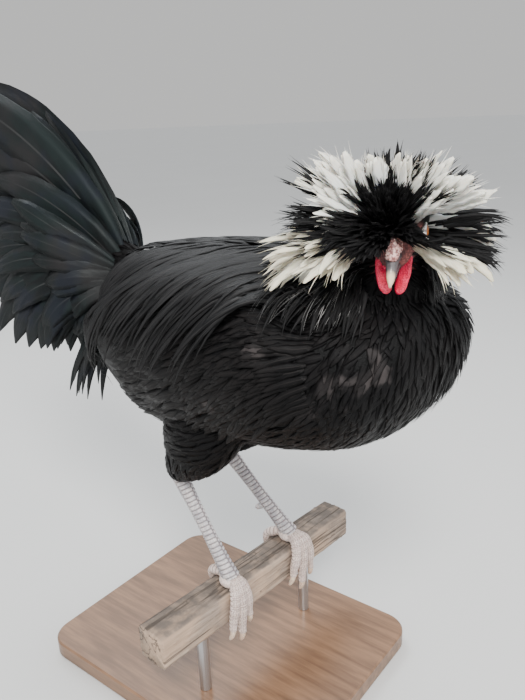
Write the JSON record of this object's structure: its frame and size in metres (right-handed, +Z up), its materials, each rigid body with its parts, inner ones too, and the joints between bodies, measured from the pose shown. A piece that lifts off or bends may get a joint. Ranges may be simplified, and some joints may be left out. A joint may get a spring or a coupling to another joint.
{
  "type": "polish crested chicken",
  "caption": "Life-size black crested cockerel with a white-backed crest, gripping a cut length of square rail held by rods over a flat base.",
  "frame": {"origin": "on the underside of the stand's base, straight below the middle of the rail between the two feet", "axes": "+X forward along the bird's body, +Y to the bird's left, +Z up"},
  "size_m": [0.5861, 0.2316, 0.4983],
  "materials": {
    "plumage": "glossy black body feathers with a faint bronze sheen",
    "tail_plumage": "black feathers with a green and violet sheen",
    "crest_plumage": "soft white feathers, black towards the face",
    "face": "bare facial skin",
    "flesh": "rough pink skin",
    "wattle": "smooth crimson skin",
    "lobe": "smooth white skin",
    "horn": "horn",
    "eye": "wet gloss",
    "scales": "dusty pale grey scales",
    "claws": "worn horn",
    "timber": "weathered, dusty sawn timber",
    "stand_wood": "satin varnish",
    "rods": "brushed"
  },
  "bodies": {
    "root": {"torso": "plumage", "neck": "plumage", "head": "face", "crest": "crest_plumage", "tail": "tail_plumage", "beak_upper": "horn", "beak_lower": "horn", "nostril_knob": "flesh", "comb": "wattle", "wing_right": "plumage", "eye_right": "eye", "earlobe_right": "lobe", "wattle_right": "wattle", "thigh_right": "plumage", "shank_right": "scales", "foot_right": "scales", "claw_right_inner": "claws", "claw_right_middle": "claws", "claw_right_outer": "claws", "claw_right_hind": "claws", "wing_left": "plumage", "eye_left": "eye", "earlobe_left": "lobe", "wattle_left": "wattle", "thigh_left": "plumage", "shank_left": "scales", "foot_left": "scales", "claw_left_inner": "claws", "claw_left_middle": "claws", "claw_left_outer": "claws", "claw_left_hind": "claws", "stand_rail": "timber", "stand_base": "stand_wood", "stand_rod_near": "rods", "stand_rod_far": "rods"}
  },
  "joints": []
}
